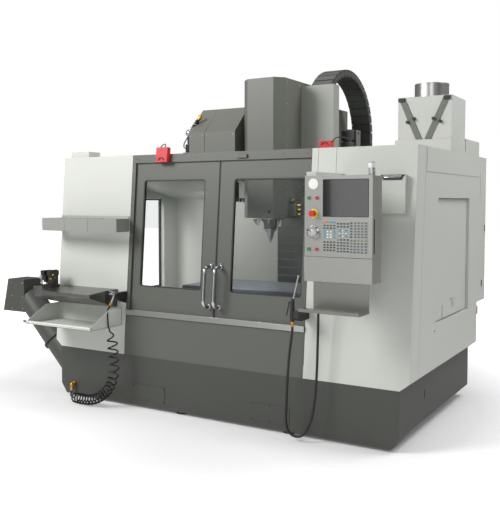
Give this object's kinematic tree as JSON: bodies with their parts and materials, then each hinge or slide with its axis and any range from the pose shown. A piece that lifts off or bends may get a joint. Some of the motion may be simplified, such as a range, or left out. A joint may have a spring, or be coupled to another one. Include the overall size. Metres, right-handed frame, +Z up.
{
  "type": "cnc machining center",
  "caption": "Enclosed vertical machining centre with sliding doors, moving table and head, swivelling pendant, chip auger, vise shelf and hoses.",
  "frame": {"origin": "on the floor, under the middle of the whole machine", "axes": "+X to the operator's right, +Y to the rear, +Z up"},
  "size_m": [3.793, 2.5689, 2.785],
  "materials": {
    "light_paint": "satin powder coat, light warm grey",
    "dark_paint": "satin powder coat, dark grey",
    "door_paint": "satin powder coat, mid grey",
    "cover_paint": "satin powder coat, grey",
    "stainless": "brushed stainless sheet",
    "machined": "ground and milled iron",
    "casting": "painted casting",
    "bright_steel": "polished steel",
    "brass": "machined brass",
    "black_plastic": "moulded black plastic",
    "black_paint": "black enamel",
    "red_plastic": "moulded red plastic",
    "green_plastic": "moulded green plastic",
    "clear_pane": "clear laminated pane",
    "screen_glass": "dark screen",
    "hose_rubber": "black hose"
  },
  "bodies": {
    "machine": {"base_tank": "dark_paint", "levelling_feet": "black_paint", "cover_plates": "dark_paint", "left_housing": "light_paint", "right_housing": "light_paint", "side_window": "clear_pane", "side_panel": "light_paint", "inner_walls": "light_paint", "door_frame": "door_paint", "sill": "stainless", "column": "casting", "way_cover": "stainless", "changer_shroud": "dark_paint", "energy_chain": "black_plastic", "mist_collector": "light_paint", "electrical_cabinet": "light_paint", "interlock_switches": "red_plastic", "pendant_arm": "light_paint", "document_holder": "light_paint", "tool_tray": "light_paint", "work_shelf": "stainless", "shelf_bin": "stainless", "vise": "black_paint", "auger_tube": "dark_paint", "air_gun": "bright_steel", "gun_holders": "black_plastic", "hose_elbows": "brass", "air_hose": "hose_rubber", "wash_gun": "black_plastic", "wash_hose": "hose_rubber"},
    "left_door_slide": {"left_door": "door_paint", "left_pane": "clear_pane", "left_handle": "bright_steel"},
    "right_door_slide": {"right_door": "door_paint", "right_pane": "clear_pane", "right_handle": "bright_steel"},
    "saddle_body": {"saddle": "casting"},
    "table_body": {"table": "machined"},
    "head_body": {"head": "cover_paint", "chain_box": "cover_paint", "coolant_block": "brass"},
    "spindle_body": {"spindle": "bright_steel", "tool_holder": "bright_steel"},
    "pendant_body": {"pendant_housing": "stainless", "screen": "screen_glass", "pendant_tray": "stainless", "beacon": "bright_steel"},
    "start_body": {"start_button": "green_plastic"},
    "hold_body": {"hold_button": "red_plastic"},
    "on_body": {"on_button": "green_plastic"},
    "off_body": {"off_button": "red_plastic"},
    "stop_body": {"stop_button": "red_plastic"},
    "wheel_body": {"jog_wheel": "bright_steel"},
    "vise_jaw_body": {"vise_jaw": "black_paint"},
    "vise_screw_body": {"vise_screw": "bright_steel"},
    "auger_body": {"auger_screw": "bright_steel"},
    "air_lever_body": {"air_gun_lever": "bright_steel"},
    "wash_lever_body": {"wash_lever": "black_plastic"},
    "switch_body": {"main_switch": "red_plastic"},
    "cabinet_door_body": {"cabinet_door": "light_paint"}
  },
  "joints": [
    {"name": "left_door", "type": "slide", "parent": "machine", "child": "left_door_slide", "axis": [-1, 0, 0], "range_m": [0, 0.65]},
    {"name": "right_door", "type": "slide", "parent": "machine", "child": "right_door_slide", "axis": [1, 0, 0], "range_m": [0, 0.65]},
    {"name": "saddle_y", "type": "slide", "parent": "machine", "child": "saddle_body", "axis": [0, 1, 0], "range_m": [-0.33, 0.33]},
    {"name": "table_x", "type": "slide", "parent": "saddle_body", "child": "table_body", "axis": [1, 0, 0], "range_m": [-0.508, 0.508]},
    {"name": "head_z", "type": "slide", "parent": "machine", "child": "head_body", "axis": [0, 0, 1], "range_m": [-0.35, 0.275], "deforming": ["way_cover", "energy_chain"]},
    {"name": "spindle_turn", "type": "hinge", "parent": "head_body", "child": "spindle_body", "pos_m": [0.3715, 0.12, 1.392], "axis": [0, 0, 1], "continuous": true},
    {"name": "pendant_swivel", "type": "hinge", "parent": "machine", "child": "pendant_body", "pos_m": [1.3495, -0.895, 1.472], "axis": [0, 0, 1], "range_deg": [-60, 20]},
    {"name": "start_press", "type": "slide", "parent": "pendant_body", "child": "start_body", "axis": [0.0288, 0.9996, 0], "range_m": [0, 0.003], "stiffness_N_per_m": 700, "springref_m": -0.001},
    {"name": "hold_press", "type": "slide", "parent": "pendant_body", "child": "hold_body", "axis": [0.0288, 0.9996, 0], "range_m": [0, 0.003], "stiffness_N_per_m": 700, "springref_m": -0.001},
    {"name": "on_press", "type": "slide", "parent": "pendant_body", "child": "on_body", "axis": [0.0288, 0.9996, 0], "range_m": [0, 0.003], "stiffness_N_per_m": 700, "springref_m": -0.001},
    {"name": "off_press", "type": "slide", "parent": "pendant_body", "child": "off_body", "axis": [0.0288, 0.9996, 0], "range_m": [0, 0.003], "stiffness_N_per_m": 700, "springref_m": -0.001},
    {"name": "stop_press", "type": "slide", "parent": "pendant_body", "child": "stop_body", "axis": [0.0288, 0.9996, 0], "range_m": [0, 0.006], "stiffness_N_per_m": 600, "springref_m": -0.001},
    {"name": "jog_turn", "type": "hinge", "parent": "pendant_body", "child": "wheel_body", "pos_m": [1.37853, -1.12604, 1.451], "axis": [0.0288, 0.9996, 0], "continuous": true},
    {"name": "vise_screw_turn", "type": "hinge", "parent": "vise_jaw_body", "child": "vise_screw_body", "pos_m": [-1.2485, -0.87, 1.0023], "axis": [1, 0, 0], "range_deg": [-1820, 2144]},
    {"name": "vise_jaw_slide", "type": "slide", "parent": "machine", "child": "vise_jaw_body", "axis": [1, 0, 0], "range_m": [-0.025, 0.0295]},
    {"name": "auger_turn", "type": "hinge", "parent": "machine", "child": "auger_body", "pos_m": [-1.1635, -0.645, 0.272], "axis": [-0.7071, 0, 0.7071], "continuous": true},
    {"name": "air_lever_press", "type": "hinge", "parent": "machine", "child": "air_lever_body", "pos_m": [-0.5085, -0.85, 0.917], "axis": [0, -1, 0], "range_deg": [0, 10], "stiffness_Nm_per_rad": 0.5, "springref_deg": -5.73},
    {"name": "wash_lever_press", "type": "hinge", "parent": "machine", "child": "wash_lever_body", "pos_m": [1.0805, -0.885, 0.955], "axis": [0, -1, 0], "range_deg": [0, 10], "stiffness_Nm_per_rad": 1, "springref_deg": -5.73},
    {"name": "main_switch_turn", "type": "hinge", "parent": "machine", "child": "switch_body", "pos_m": [1.8635, 0.992, 0.728], "axis": [1, 0, 0], "range_deg": [0, 90]},
    {"name": "cabinet_door_swing", "type": "hinge", "parent": "machine", "child": "cabinet_door_body", "pos_m": [0.9655, 1.221, 1.4], "axis": [0, 0, 1], "range_deg": [0, 110]}
  ],
  "couplings": [
    {"joint": "vise_screw_turn", "follows": "vise_jaw_slide", "rad_per_m": 1256.6}
  ]
}
